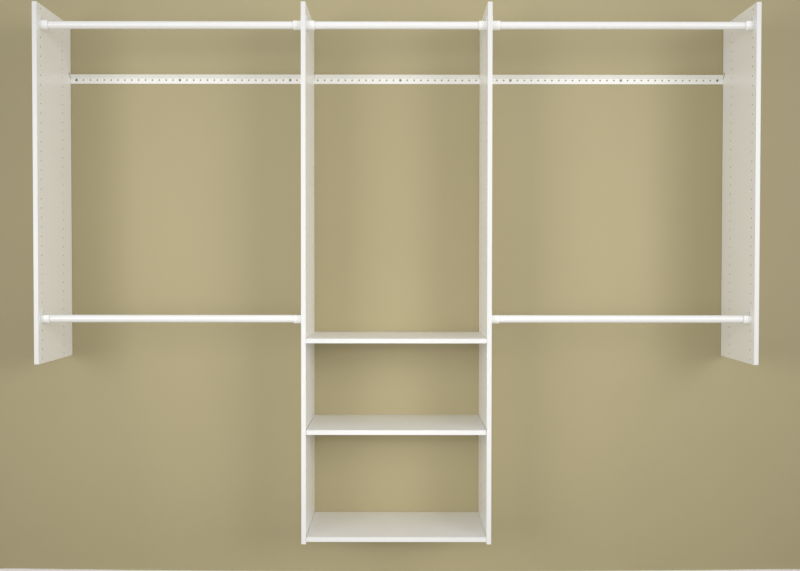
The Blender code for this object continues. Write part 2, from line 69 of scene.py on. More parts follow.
# The whole system, in metres. The wall's face is y = 0, and the rail's holes are at z = 0.
system = {
    "width": 2.4384, "towerOpening": 0.6096, "board": 0.015875, "depth": 0.3556, "top": 0.2,
    "shortRows": 38, "tallRows": 57, "pitch": 0.032, "firstHole": 0.016, "frontColumn": -0.3186,
    "backColumn": -0.0946, "gap": 0.0003, "edge": 0.0008, "rawEdge": 0.0004}
endFace = system["width"] / 2 - system["board"]
towerFace = system["towerOpening"] / 2
towerOuterFace = towerFace + system["board"]
columns = (system["frontColumn"], system["backColumn"])
bodyOf = {node: body for body, members in frame["record"]["behaviour"]["bodies"].items() for node in members}
sideways = Matrix(((0, 0, 1, 0), (1, 0, 0, 0), (0, 1, 0, 0), (0, 0, 0, 1)))  # (a, b, h) to (y, z, x)
alongX = Matrix.Rotation(math.pi / 2, 4, "Y")
alongY = Matrix.Rotation(-math.pi / 2, 4, "X")
upsideDown = Matrix.Rotation(math.pi, 4, "X")
halfTurn = Matrix.Rotation(math.pi, 4, "Z")


def rowHeight(row):
    return system["top"] - system["firstHole"] - row * system["pitch"]


def camel(name):
    first, *rest = name.split("_")
    return first + "".join(word.capitalize() for word in rest)


# A part is (points, faces, smooth, slot): an (n, 3) array, lists of point numbers, whether it is
# shaded round, and which of the piece's materials it takes.


def ringNormals(outline):
    # Outward normal at each point of a closed outline that runs counter-clockwise, mitred so
    # that moving every point along it keeps the edges parallel: (a + b) / (1 + a.b)
    ahead = np.roll(outline, -1, 0) - outline
    ahead = ahead / np.linalg.norm(ahead, axis=1)[:, None]
    nextSide = np.stack([ahead[:, 1], -ahead[:, 0]], 1)
    lastSide = np.roll(nextSide, 1, 0)
    return (nextSide + lastSide) / (1 + (nextSide * lastSide).sum(1))[:, None]


def ringFaces(rows, columns, wrapRows=False):
    # Quads between neighbouring rings of a grid whose columns close on themselves
    row = np.arange(rows if wrapRows else rows - 1)[:, None]
    column = np.arange(columns)[None, :]
    right = (column + 1) % columns
    above = (row + 1) % rows
    quads = np.stack([row * columns + column, row * columns + right,
                      above * columns + right, above * columns + column], -1)
    return quads.reshape(-1, 4).tolist()


def endCaps(rows, columns):
    # The first and the last ring of such a grid, each as one face that points outwards
    last = (rows - 1) * columns
    return [list(range(columns))[::-1], list(range(last, last + columns))]


def prism(outline, stations, smooth=False, slot=0):
    # An outline carried along its normal: at station (height, inset) each point stands at that
    # height, moved inward by the inset. Points are (across, up, height).
    outline = np.asarray(outline, float)
    heights, insets = np.asarray(stations, float).T
    flat = outline[None] - ringNormals(outline)[None] * insets[:, None, None]
    level = np.broadcast_to(heights[:, None, None], flat.shape[:2] + (1,))
    points = np.concatenate([flat, level], 2).reshape(-1, 3)
    rows, count = len(heights), len(outline)
    return [(points, ringFaces(rows, count), smooth, slot), (points, endCaps(rows, count), False, slot)]


def turned(profile, sides, closed=False, smooth=True, slot=0):
    # A profile of (radius, height) turned about Z: x = r cos(a), y = r sin(a), z = h. It runs
    # up its outer side. An open profile starts and ends on the axis or gets flat caps.
    radius, height = np.asarray(profile, float).T
    angle = np.arange(sides) * 2 * math.pi / sides
    x = radius[:, None] * np.cos(angle)[None]
    y = radius[:, None] * np.sin(angle)[None]
    z = np.broadcast_to(height[:, None], x.shape)
    points = np.stack([x, y, z], -1).reshape(-1, 3)
    parts = [(points, ringFaces(len(radius), sides, closed), smooth, slot)]
    if not closed:
        caps = [cap for cap, r in zip(endCaps(len(radius), sides), radius[[0, -1]]) if r > 0]
        parts.append((points, caps, False, slot))
    return parts


def softEnds(low, high, radius, steps=3, lowRadius=None):
    # Stations from low to high with a quarter round at each end: height low + r (1 - cos t),
    # inset r (1 - sin t)
    turn = np.linspace(0, math.pi / 2, steps + 1)
    lowRadius = radius if lowRadius is None else lowRadius
    start = [(low, 0.0)] if lowRadius == 0 else list(
        zip(low + lowRadius * (1 - np.cos(turn)), lowRadius * (1 - np.sin(turn))))
    end = list(zip(high - radius * (1 - np.cos(turn)), radius * (1 - np.sin(turn))))[::-1]
    return start + end


def filleted(corners, steps=5):
    # A closed outline from (x, y, radius) corners, each rounded by an arc tangent to both edges:
    # the arc's centre stands r / sin(half the corner's angle) from the corner, on its bisector
    corners = np.asarray(corners, float)
    found = []
    for index, (x, y, radius) in enumerate(corners):
        here = np.array([x, y])
        if radius == 0:
            found.append(here[None])
            continue
        before = corners[index - 1, :2] - here
        after = corners[(index + 1) % len(corners), :2] - here
        before, after = before / np.linalg.norm(before), after / np.linalg.norm(after)
        half = math.acos(np.clip(before @ after, -1, 1)) / 2
        middle = before + after
        centre = here + middle / np.linalg.norm(middle) * radius / math.sin(half)
        start = here + before * radius / math.tan(half) - centre
        end = here + after * radius / math.tan(half) - centre
        sweep = math.atan2(start[0] * end[1] - start[1] * end[0], start @ end)
        turn = np.linspace(0, sweep, steps + 1)[:, None]
        square = np.array([-start[1], start[0]])
        found.append(centre + start * np.cos(turn) + square * np.sin(turn))
    return np.concatenate(found)


def sharp(points):
    return [(*point, 0.0) for point in points]


def arcPoints(radius, start, end, steps, rise=0.0):
    # Points at equal angles on a circle about (0, rise): r cos(a), rise + r sin(a)
    turn = np.radians(np.linspace(start, end, steps + 1))
    return np.stack([radius * np.cos(turn), rise + radius * np.sin(turn)], 1)


def placed(parts, matrix):
    turn = np.array(matrix)
    return [(points @ turn[:3, :3].T + turn[:3, 3], faces, smooth, slot)
            for points, faces, smooth, slot in parts]


def repeated(parts, places):
    # The same parts at each place, as separate shells
    offsets = np.asarray(places, float)
    found = []
    for points, faces, smooth, slot in parts:
        moved = (points[None] + offsets[:, None]).reshape(-1, 3)
        size = len(points)
        copies = [[number + step * size for number in face]
                  for step in range(len(offsets)) for face in faces]
        found.append((moved, copies, smooth, slot))
    return found


def bared(parts, isRaw):
    # Each part's faces for which the test holds go to the second material, raw board
    found = []
    for points, faces, smooth, slot in parts:
        raw = [bool(isRaw(points[face])) for face in faces]
        found.append((points, [face for face, bare in zip(faces, raw) if not bare], smooth, slot))
        if any(raw):
            found.append((points, [face for face, bare in zip(faces, raw) if bare], smooth, 1))
    return found


def buildMesh(name, parts, materials, weld=1e-7):
    points = np.concatenate([part[0] for part in parts])
    starts = np.cumsum([0] + [len(part[0]) for part in parts])
    faces, smooth, slots = [], [], []
    for start, (_, partFaces, partSmooth, partSlot) in zip(starts, parts):
        faces += [[number + int(start) for number in face] for face in partFaces]
        smooth += [partSmooth] * len(partFaces)
        slots += [partSlot] * len(partFaces)
    mesh = bpy.data.meshes.new(name)
    mesh.from_pydata(points.tolist(), [], faces)
    mesh.polygons.foreach_set("use_smooth", smooth)
    mesh.polygons.foreach_set("material_index", slots)
    for material in materials:
        mesh.materials.append(material)
    work = bmesh.new()
    work.from_mesh(mesh)
    bmesh.ops.remove_doubles(work, verts=work.verts, dist=weld)
    work.to_mesh(mesh)
    work.free()
    mesh.update()
    return mesh


def divided(mesh, step=0.08, margin=0.002, snap=1e-7):
    # Every face cut at whole steps and a margin in from the mesh's ends, because the long thin
    # triangles that large faces with rounded corners fall into shade unevenly
    points = np.empty(3 * len(mesh.vertices))
    mesh.vertices.foreach_get("co", points)
    points = points.reshape(-1, 3)
    work = bmesh.new()
    work.from_mesh(mesh)
    for across, low, high in zip(np.eye(3), points.min(0), points.max(0)):
        places = list(np.arange(math.floor(low / step) + 1, math.ceil(high / step)) * step)
        if high - low > 6 * margin:
            places += [low + margin, high - margin]
        for place in places:
            bmesh.ops.bisect_plane(work, geom=work.verts[:] + work.edges[:] + work.faces[:], dist=snap,
                                   plane_co=Vector(across * place), plane_no=Vector(across))
    work.to_mesh(mesh)
    work.free()
    return mesh


def cutMesh(mesh, parts, operation="DIFFERENCE"):
    # The mesh with these closed parts taken out of it or joined to it, faces and materials kept
    body = bpy.data.objects.new("cutBody", mesh)
    tool = bpy.data.objects.new("cutTool", buildMesh("cutTool", parts, list(mesh.materials)))
    for item in (body, tool):
        bpy.context.scene.collection.objects.link(item)
    boolean = body.modifiers.new("cut", "BOOLEAN")
    boolean.operation = operation
    boolean.solver = "EXACT"
    boolean.object = tool
    bpy.context.view_layer.update()
    graph = bpy.context.evaluated_depsgraph_get()
    result = bpy.data.meshes.new_from_object(body.evaluated_get(graph))
    result.name = mesh.name
    bpy.data.objects.remove(body)
    bpy.data.objects.remove(tool)
    return result


def joined(mesh, parts):
    # The mesh with more closed shells added to it
    work = bmesh.new()
    work.from_mesh(mesh)
    work.from_mesh(buildMesh("added", parts, list(mesh.materials)))
    work.to_mesh(mesh)
    work.free()
    return mesh


def setPiece(node, mesh, place=None, name=None):
    # A copy of the mesh, put in its place, rides on the node's body and stands for the node
    mesh = mesh.copy()
    if place is not None:
        mesh.transform(place)
    piece = bpy.data.objects.new(name or camel(node), mesh)
    bpy.context.scene.collection.objects.link(piece)
    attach(piece, bodyOf[node])
    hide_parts(node)


def rgba(colour):
    return (*colour, 1.0)


class Wiring:
    # Adds nodes to a tree and joins them: a value that is a socket is linked, any other is set
    def __init__(self, tree):
        self.tree = tree

    def set(self, socket, value):
        if isinstance(value, bpy.types.NodeSocket):
            self.tree.links.new(value, socket)
        else:
            socket.default_value = value

    def add(self, kind, settings=None, inOrder=(), **named):
        node = self.tree.nodes.new(kind)
        for key, value in (settings or {}).items():
            setattr(node, key, value)
        for socket, value in zip(node.inputs, inOrder):
            self.set(socket, value)
        for key, value in named.items():
            self.set(node.inputs[key], value)
        return node

    def group(self, tree, look):
        # A group's node, each input set from the look's value of the same name, where it has one
        node = self.add("ShaderNodeGroup", {"node_tree": tree})
        for socket in node.inputs:
            value = look.get(camel(socket.name.lower().replace(" ", "_")))
            if value is not None:
                self.set(socket, rgba(value) if isinstance(value, tuple) else value)
        return node.outputs

    def math(self, operation, first, second=0.0):
        return self.add("ShaderNodeMath", {"operation": operation}, (first, second)).outputs[0]

    def ramp(self, value, low, high, start=0.0, end=1.0):
        ends = (value, low, high, start, end)
        return self.add("ShaderNodeMapRange", {"interpolation_type": "SMOOTHSTEP"}, ends).outputs[0]

    def mix(self, factor, first, second, blend="MIX"):
        # The Mix node's sockets 6 and 7 and its output 2 are its colours
        node = self.add("ShaderNodeMix", {"data_type": "RGBA", "blend_type": blend}, (factor,))
        self.set(node.inputs[6], first)
        self.set(node.inputs[7], second)
        return node.outputs[2]

    def spot(self):
        return self.add("ShaderNodeTexCoord").outputs["Object"]

    def noise(self, spot, scale, detail, rough=0.5):
        return self.add("ShaderNodeTexNoise", Vector=spot, Scale=scale, Detail=detail, Roughness=rough).outputs["Fac"]

    def grain(self, spot, size, detail, rough=0.5):
        return self.noise(spot, self.math("DIVIDE", 1.0, size), detail, rough)

    def bump(self, height, strength, depth):
        return self.add("ShaderNodeBump", Height=height, Strength=strength, Distance=depth).outputs["Normal"]

    def surface(self, colour, rough, normal, **constants):
        sockets = {"Base Color": colour, "Roughness": rough, "Normal": normal, **constants}
        return self.add("ShaderNodeBsdfPrincipled", **sockets)


def newGroup(name, inputs, outputs):
    group = bpy.data.node_groups.new(name, "ShaderNodeTree")
    for label, value in inputs.items():
        kind = "NodeSocketColor" if isinstance(value, tuple) else "NodeSocketFloat"
        group.interface.new_socket(label, in_out="INPUT", socket_type=kind).default_value = value
    for label, kind in outputs.items():
        group.interface.new_socket(label, in_out="OUTPUT", socket_type=kind)
    return group, Wiring(group)


def makeDriftGroup():
    # Slow drift of tone and sheen over a surface, with fine specks: a broad noise and a small one
    group, wire = newGroup(
        "surfaceDrift",
        {"Tone": (0.8, 0.8, 0.8, 1.0), "Second Tone": (0.7, 0.7, 0.7, 1.0), "Drift Size": 0.2,
         "Speck Size": 0.001, "Speck Tone": (0.6, 0.6, 0.6, 1.0), "Speck Share": 0.1, "Smooth": 0.3, "Rough": 0.4},
        {"Color": "NodeSocketColor", "Roughness": "NodeSocketFloat"})
    given = wire.add("NodeGroupInput").outputs
    spot = wire.spot()
    drift = wire.ramp(wire.grain(spot, given["Drift Size"], 4.0, 0.55), 0.32, 0.68)
    small = wire.grain(spot, given["Speck Size"], 2.0, 0.6)
    speck = wire.math("MULTIPLY", wire.ramp(small, 0.62, 0.74), given["Speck Share"])
    colour = wire.mix(drift, given["Tone"], given["Second Tone"])
    colour = wire.mix(speck, colour, given["Speck Tone"])
    both = wire.math("ADD", wire.math("MULTIPLY", drift, 0.7), wire.math("MULTIPLY", small, 0.3))
    wire.add("NodeGroupOutput", Color=colour, Roughness=wire.ramp(both, 0.1, 0.9, given["Smooth"], given["Rough"]))
    return group


def makeSkinGroup():
    # Height of a sprayed or pressed skin: rounded cells, a finer grain on them, and slow waves
    group, wire = newGroup(
        "skinTexture",
        {"Cell Size": 0.002, "Grain Size": 0.0005, "Grain Share": 0.3, "Wave Size": 0.05, "Wave Share": 0.3},
        {"Height": "NodeSocketFloat"})
    given = wire.add("NodeGroupInput").outputs
    spot = wire.spot()
    height = wire.grain(spot, given["Cell Size"], 1.0)
    for layer, detail in (("Grain", 2.0), ("Wave", 1.0)):
        added = wire.math("MULTIPLY", wire.grain(spot, given[layer + " Size"], detail), given[layer + " Share"])
        height = wire.math("ADD", height, added)
    wire.add("NodeGroupOutput", Height=height)
    return group


def makeLineGroup():
    # Fine drawn lines, as on turned or plated metal: noise stretched along one axis
    group, wire = newGroup("drawnLines", {"Line Size": 0.0003, "Stretch": 12.0}, {"Lines": "NodeSocketFloat"})
    given = wire.add("NodeGroupInput").outputs
    size = wire.math("DIVIDE", 1.0, given["Line Size"])
    along = wire.math("DIVIDE", size, given["Stretch"])
    scale = wire.add("ShaderNodeCombineXYZ", X=size, Y=along, Z=size).outputs[0]
    vector = wire.add("ShaderNodeVectorMath", {"operation": "MULTIPLY"}, (wire.spot(), scale)).outputs[0]
    wire.add("NodeGroupOutput", Lines=wire.ramp(wire.noise(vector, 1.0, 3.0, 0.65), 0.3, 0.7))
    return group


driftGroup, skinGroup, lineGroup = makeDriftGroup(), makeSkinGroup(), makeLineGroup()


def newMaterial(name):
    material = bpy.data.materials.new(name)
    material.use_nodes = True
    material.node_tree.nodes.clear()
    return material, Wiring(material.node_tree)


def finished(material, wire, shader):
    wire.add("ShaderNodeOutputMaterial", Surface=shader.outputs[0])
    return material


def skinBump(wire, look, extra=None):
    height = wire.group(skinGroup, look)["Height"]
    if extra is not None:
        height = wire.math("ADD", height, extra)
    return wire.bump(height, look["bumpStrength"], look["bumpDepth"])


melamineLook = {
    "tone": (0.925, 0.918, 0.893), "secondTone": (0.912, 0.904, 0.876), "driftSize": 0.35,
    "speckSize": 0.0011, "speckTone": (0.79, 0.78, 0.75), "speckShare": 0.22, "smooth": 0.30, "rough": 0.34,
    "cellSize": 0.0009, "grainSize": 0.0003, "grainShare": 0.5, "waveSize": 0.06, "waveShare": 0.1,
    "bumpStrength": 0.35, "bumpDepth": 0.00006, "bandThickness": 0.0006, "bandTint": (0.865, 0.867, 0.873),
    "seamWidth": 0.00012, "seamTone": (0.42, 0.38, 0.32), "seamPatches": 160.0, "seamDip": 1.5}


def makeMelamine(look):
    # White printed skin on board. The edge band on the front is a shade greyer and leaves a hair
    # line where it meets the faces, a band's thickness behind the front face.
    material, wire = newMaterial("whiteMelamine")
    drift = wire.group(driftGroup, look)
    spot = wire.spot()
    depth = wire.add("ShaderNodeSeparateXYZ", Vector=spot).outputs["Y"]
    bandBack = look["bandThickness"] - system["depth"]
    fromSeam = wire.math("ABSOLUTE", wire.math("SUBTRACT", depth, bandBack))
    seam = wire.ramp(fromSeam, look["seamWidth"] * 0.4, look["seamWidth"], 1.0, 0.0)
    patches = wire.ramp(wire.noise(spot, look["seamPatches"], 3.0), 0.3, 0.6, 0.25, 0.75)
    seam = wire.math("MULTIPLY", seam, patches)
    banded = wire.math("LESS_THAN", depth, bandBack)
    colour = wire.mix(banded, drift["Color"], rgba(look["bandTint"]), "MULTIPLY")
    colour = wire.mix(seam, colour, rgba(look["seamTone"]))
    normal = skinBump(wire, look, wire.math("MULTIPLY", seam, -look["seamDip"]))
    return finished(material, wire, wire.surface(colour, drift["Roughness"], normal, IOR=1.5))


chipLook = {
    "pale": (0.52, 0.40, 0.25), "dark": (0.26, 0.17, 0.09), "gap": (0.10, 0.065, 0.035), "chipSize": 0.0016,
    "rough": 0.85, "bumpStrength": 0.7, "bumpDepth": 0.0003}


def makeChipboard(look):
    # Pressed wood chips, as the drill and the saw leave them: cells of many browns
    material, wire = newMaterial("rawChipboard")
    chips = wire.add("ShaderNodeTexVoronoi", {"feature": "F1"}, Vector=wire.spot(), Scale=1 / look["chipSize"]).outputs
    tint = wire.add("ShaderNodeSeparateColor", Color=chips["Color"]).outputs[0]
    gaps = wire.ramp(chips["Distance"], 0.35, 0.8, 0.0, 0.75)
    colour = wire.mix(wire.ramp(tint, 0.1, 0.9), rgba(look["dark"]), rgba(look["pale"]))
    colour = wire.mix(gaps, colour, rgba(look["gap"]))
    normal = wire.bump(wire.math("SUBTRACT", tint, gaps), look["bumpStrength"], look["bumpDepth"])
    return finished(material, wire, wire.surface(colour, look["rough"], normal))


railLook = {
    "tone": (0.93, 0.925, 0.885), "secondTone": (0.915, 0.908, 0.865), "driftSize": 0.12,
    "speckSize": 0.0009, "speckTone": (0.74, 0.72, 0.64), "speckShare": 0.25, "smooth": 0.34, "rough": 0.46,
    "cellSize": 0.0014, "grainSize": 0.0005, "grainShare": 0.35, "waveSize": 0.03, "waveShare": 0.6,
    "bumpStrength": 0.5, "bumpDepth": 0.00012, "coat": 0.0, "coatRough": 0.12}
rodLook = {
    "tone": (0.885, 0.882, 0.872), "secondTone": (0.87, 0.866, 0.854), "driftSize": 0.09,
    "speckSize": 0.0012, "speckTone": (0.72, 0.71, 0.68), "speckShare": 0.15, "smooth": 0.2, "rough": 0.3,
    "cellSize": 0.0022, "grainSize": 0.0006, "grainShare": 0.2, "waveSize": 0.04, "waveShare": 0.7,
    "bumpStrength": 0.35, "bumpDepth": 0.00009, "coat": 0.4, "coatRough": 0.12}
plasticLook = {
    "tone": (0.925, 0.92, 0.905), "secondTone": (0.90, 0.895, 0.88), "driftSize": 0.02,
    "speckSize": 0.0006, "speckTone": (0.74, 0.73, 0.71), "speckShare": 0.12, "smooth": 0.24, "rough": 0.36,
    "cellSize": 0.0005, "grainSize": 0.0002, "grainShare": 0.5, "waveSize": 0.008, "waveShare": 0.7,
    "bumpStrength": 0.3, "bumpDepth": 0.00004, "coat": 0.0, "coatRough": 0.12}
# Painted shade: a near-black tone on the rail's lip inside the panels' slots, standing in for the slots' shadow
lipSlotShade = {
    "tone": (0.07, 0.064, 0.055), "rough": 0.7, "faces": (towerFace, endFace), "inset": 0.0002,
    "start": 0.005, "fade": 0.003, "grimeScale": 420.0}


def slotShadeMask(wire, scuffs):
    # Painted shade on the lip where it runs inside the panels' slots: inside each board's thickness, above the bend,
    # in noisy patches
    spot = wire.spot()
    axes = wire.add("ShaderNodeSeparateXYZ", Vector=spot).outputs
    across = wire.math("ABSOLUTE", axes["X"])
    found = 0.0
    for face in scuffs["faces"]:
        past = wire.math("GREATER_THAN", across, face + scuffs["inset"])
        within = wire.math("LESS_THAN", across, face + system["board"] - scuffs["inset"])
        found = wire.math("MAXIMUM", wire.math("MULTIPLY", past, within), found)
    lip = wire.ramp(axes["Z"], scuffs["start"], scuffs["start"] + scuffs["fade"])
    shadePatches = wire.ramp(wire.noise(spot, scuffs["grimeScale"], 3.0), 0.2, 0.5, 0.75, 1.0)
    return wire.math("MULTIPLY", wire.math("MULTIPLY", found, lip), shadePatches)


def makeCoated(name, look, scuffs=None):
    # Sprayed enamel or moulded plastic: one skin with its own tones, sheen and texture
    material, wire = newMaterial(name)
    drift = wire.group(driftGroup, look)
    colour, rough = drift["Color"], drift["Roughness"]
    # Painted shade, where given: the lip darkened inside the panels' slots
    if scuffs:
        paintedShade = slotShadeMask(wire, scuffs)
        colour = wire.mix(paintedShade, colour, rgba(scuffs["tone"]))
        rough = wire.math("MAXIMUM", rough, wire.math("MULTIPLY", paintedShade, scuffs["rough"]))
    gloss = {"IOR": 1.5, "Coat Weight": look["coat"], "Coat Roughness": look["coatRough"]}
    return finished(material, wire, wire.surface(colour, rough, skinBump(wire, look), **gloss))


zincLook = {
    "tone": (0.80, 0.805, 0.81), "secondTone": (0.70, 0.70, 0.69), "driftSize": 0.004,
    "speckSize": 0.0004, "speckTone": (0.52, 0.51, 0.48), "speckShare": 0.5, "smooth": 0.30, "rough": 0.46,
    "lineSize": 0.00025, "bumpDepth": 0.00003}
darkLook = {
    "tone": (0.35, 0.34, 0.325), "secondTone": (0.42, 0.405, 0.38), "driftSize": 0.003,
    "speckSize": 0.0004, "speckTone": (0.14, 0.125, 0.11), "speckShare": 0.5, "smooth": 0.34, "rough": 0.55,
    "lineSize": 0.0003, "bumpDepth": 0.00004}
castLook = {
    "tone": (0.56, 0.56, 0.56), "secondTone": (0.46, 0.46, 0.45), "driftSize": 0.006,
    "speckSize": 0.0005, "speckTone": (0.30, 0.30, 0.29), "speckShare": 0.6, "smooth": 0.34, "rough": 0.55,
    "lineSize": 0.0005, "bumpDepth": 0.00006}
lineWear = {"shade": 0.35, "rough": 0.1, "bumpStrength": 0.4}


def makeMetal(name, look):
    # Plated or blackened steel and cast zinc: drawn lines darken it and change its sheen
    material, wire = newMaterial(name)
    drift = wire.group(driftGroup, look)
    lines = wire.group(lineGroup, look)["Lines"]
    shaded = wire.math("MULTIPLY", lines, lineWear["shade"])
    colour = wire.mix(shaded, drift["Color"], rgba(look["speckTone"]))
    rough = wire.math("ADD", drift["Roughness"], wire.math("MULTIPLY", lines, lineWear["rough"]))
    normal = wire.bump(lines, lineWear["bumpStrength"], look["bumpDepth"])
    return finished(material, wire, wire.surface(colour, rough, normal, Metallic=1.0))


melamine = makeMelamine(melamineLook)
chipboard = makeChipboard(chipLook)
# The rail's enamel carries painted shade on its lip inside the panels' slots
railEnamel = makeCoated("railEnamel", railLook, lipSlotShade)
rodEnamel = makeCoated("rodEnamel", rodLook)
socketPlastic = makeCoated("socketPlastic", plasticLook)
zincSteel = makeMetal("zincSteel", zincLook)
darkSteel = makeMetal("darkSteel", darkLook)
castZinc = makeMetal("castZinc", castLook)
print("stage 2: materials made")


rail = {
    "thickness": 0.002, "below": 0.0135, "above": 0.0065, "lip": 0.0177, "lean": math.radians(45),
    "outerBend": 0.0034, "innerBend": 0.0014, "edge": 0.0004, "endEdge": 0.0003,
    "holeRadius": 0.0032, "holePitch": 0.0254, "holeFlare": 0.0003, "holeSides": 20, "overrun": 0.001}


def lipPoint(along, towardWall):
    # (depth, height) so far up the leaning lip from the web's top, and so far in from its wall side
    leanIn, leanUp = math.sin(rail["lean"]), math.cos(rail["lean"])
    return (towardWall * leanUp - along * leanIn, rail["above"] + towardWall * leanIn + along * leanUp)


def lipFaceAt(depth, towardWall):
    # Where the line so far in from the lip's wall side crosses a depth
    along = (towardWall * math.cos(rail["lean"]) - depth) / math.sin(rail["lean"])
    return lipPoint(along, towardWall)


def throughTool(radius, flare, depth, overrun, start=0.0):
    # A straight hole's profile from start to start + depth, flared at both rims
    wide, end = radius + flare, start + depth
    return [(0.0, start - overrun), (wide, start - overrun), (wide, start), (radius, start + flare),
            (radius, end - flare), (wide, end), (wide, end + overrun), (0.0, end + overrun)]


def makeRail():
    # A strip profile with a rolled bend and softened edges, carried along the wall, then punched
    thickness, edge = rail["thickness"], rail["edge"]
    corners = [(0.0, -rail["below"], edge), (0.0, rail["above"], rail["outerBend"]),
               (*lipPoint(rail["lip"], 0.0), edge), (*lipPoint(rail["lip"], -thickness), edge),
               (*lipFaceAt(-thickness, -thickness), rail["innerBend"]), (-thickness, -rail["below"], edge)]
    half = system["width"] / 2
    strip = prism(filleted(corners, 6), softEnds(-half, half, rail["endEdge"], 2))
    mesh = divided(buildMesh("wallRail", placed(strip, sideways), [railEnamel]))
    hole = throughTool(rail["holeRadius"], rail["holeFlare"], thickness, rail["overrun"], -thickness)
    punch = placed(turned(hole, rail["holeSides"]), alongY)
    count = round(system["width"] / rail["holePitch"])
    places = [((number + 0.5 - count / 2) * rail["holePitch"], 0.0, 0.0) for number in range(count)]
    setPiece("wall_rail", cutMesh(mesh, repeated(punch, places)), name="rail")


drilling = {"radius": 0.0025, "blindDepth": 0.0115, "prick": 0.0007, "flare": 0.00022, "sides": 18, "overrun": 0.002}
panel = {"corner": 0.0006, "slotWidth": 0.005, "slotEndGap": 0.01, "slotCorner": 0.001, "slotEndRadius": 0.0024,
         "slotReach": 0.04, "slotMargin": 0.001}


def drillParts(innerFace, side, rows, through):
    # Drill shape along local Z: a parallel hole with a slightly torn rim, and for a blind hole the
    # drill's centre prick at its end
    radius, flare, overrun, prick = (drilling[key] for key in ("radius", "flare", "overrun", "prick"))
    depth = drilling["blindDepth"]
    profile = throughTool(radius, flare, system["board"], overrun) if through else [
        (0.0, -overrun), (radius + flare, -overrun), (radius + flare, 0.0), (radius, flare), (radius, depth),
        (prick, depth), (0.0, depth + prick)]
    turn = alongX if side > 0 else halfTurn @ alongX
    places = [(innerFace, column, rowHeight(row)) for row in range(rows) for column in columns]
    return repeated(placed(turned(profile, drilling["sides"], slot=1), turn), places)


def backIsRaw(corner):
    # True of faces that lie against the wall and of the walls of the rail's slot, which are sawn
    _, y, z = corner.T
    slotLow, slotTop = -rail["below"] - panel["slotMargin"], rail["above"] + rail["lip"] + 2 * panel["slotEndGap"]
    nearSlot = (y > -panel["slotReach"]).all() and (z > slotLow).all() and (z < slotTop).all()
    return (y > -system["rawEdge"]).all() or (len(corner) == 4 and nearSlot)


def makePanel(name, node, innerFace, side, rows, through):
    # A board's outline in (depth, height), with a step for the rail's web and a leaning slot for
    # its lip, carried through the board's thickness and then drilled
    gap, corner, slotEndRadius = system["gap"], panel["corner"], panel["slotEndRadius"]
    top, front, under = system["top"], -system["depth"], -rail["below"] - gap
    bottom = top - 2 * system["firstHole"] - (rows - 1) * system["pitch"]
    notch = -rail["thickness"] - gap
    slotFront = gap - panel["slotWidth"]
    slotEnd = rail["lip"] + panel["slotEndGap"]
    corners = [(front, bottom, corner), (0.0, bottom, 0.0), (0.0, under, 0.0), (notch, under, 0.0),
               (*lipFaceAt(notch, slotFront), panel["slotCorner"]), (*lipPoint(slotEnd, slotFront), slotEndRadius),
               (*lipPoint(slotEnd, gap), slotEndRadius), (*lipFaceAt(0.0, gap), 0.0), (0.0, top, 0.0),
               (front, top, corner)]
    low, high = sorted((innerFace, innerFace + side * system["board"]))
    board = placed(prism(filleted(corners, 5), softEnds(low, high, system["edge"], 4)), sideways)
    mesh = divided(buildMesh(name, bared(board, backIsRaw), [melamine, chipboard]))
    mesh = cutMesh(mesh, drillParts(innerFace, side, rows, through))
    setPiece(node, mesh, name=name)


def makePanels():
    for kind, face, rows, through in (("end", endFace, system["shortRows"], False),
                                      ("tower", towerFace, system["tallRows"], True)):
        for hand, side in (("left", -1), ("right", 1)):
            makePanel(f"{kind}Panel{hand.capitalize()}", f"panel_{kind}_{hand}", side * face, side, rows, through)


def threadedShaft(core, ridge, pitch, low, high, taper=0.0, sides=20, rowsPerTurn=9):
    # Radius of a screw's shaft at angle a and height h: core + ridge * max(0, 1 - 5 |t|), where t is
    # (h / pitch - a / 2 pi) wrapped to -0.5 to 0.5; both shrink to a point over the last taper
    rows = int((high - low) / pitch * rowsPerTurn)
    height = np.linspace(low, high, rows)[:, None]
    angle = (np.arange(sides) * 2 * math.pi / sides)[None]
    phase = (height / pitch - angle / (2 * math.pi)) % 1.0 - 0.5
    started = np.clip((height - low) / (2 * pitch), 0, 1)
    shrink = np.clip((high - height) / taper, 0.02, 1) if taper else np.ones_like(height)
    radius = (core + ridge * started * np.clip(1 - 5 * np.abs(phase), 0, 1)) * shrink
    points = np.stack([radius * np.cos(angle), radius * np.sin(angle), height + 0 * angle], -1).reshape(-1, 3)
    return [(points, ringFaces(rows, sides), True, 0), (points, endCaps(rows, sides), False, 0)]


def crossRecess(screw, top, overrun=0.001):
    # A plus sign narrowing as it goes in, for a cross driver; along +Z from just above the head
    a, w = screw["recessArm"], screw["recessWidth"] / 2
    outline = [(a, -w), (a, w), (w, w), (w, a), (-w, a), (-w, w),
               (-a, w), (-a, -w), (-w, -w), (-w, -a), (w, -a), (w, -w)]
    return prism(outline, [(top - overrun, 0.0), (top, 0.0), (top + screw["recessDepth"], screw["recessTaper"])])


wallScrew = {
    "count": 7, "length": 0.0635, "headRadius": 0.0046, "headHeight": 0.0026, "rim": 0.0006, "edge": 0.0002,
    "shank": 0.0024, "core": 0.0017, "plain": 0.006, "shoulder": 0.0006, "pitch": 0.0027, "point": 0.011,
    "recessArm": 0.0024, "recessWidth": 0.0010, "recessDepth": 0.0016, "recessTaper": 0.0003}


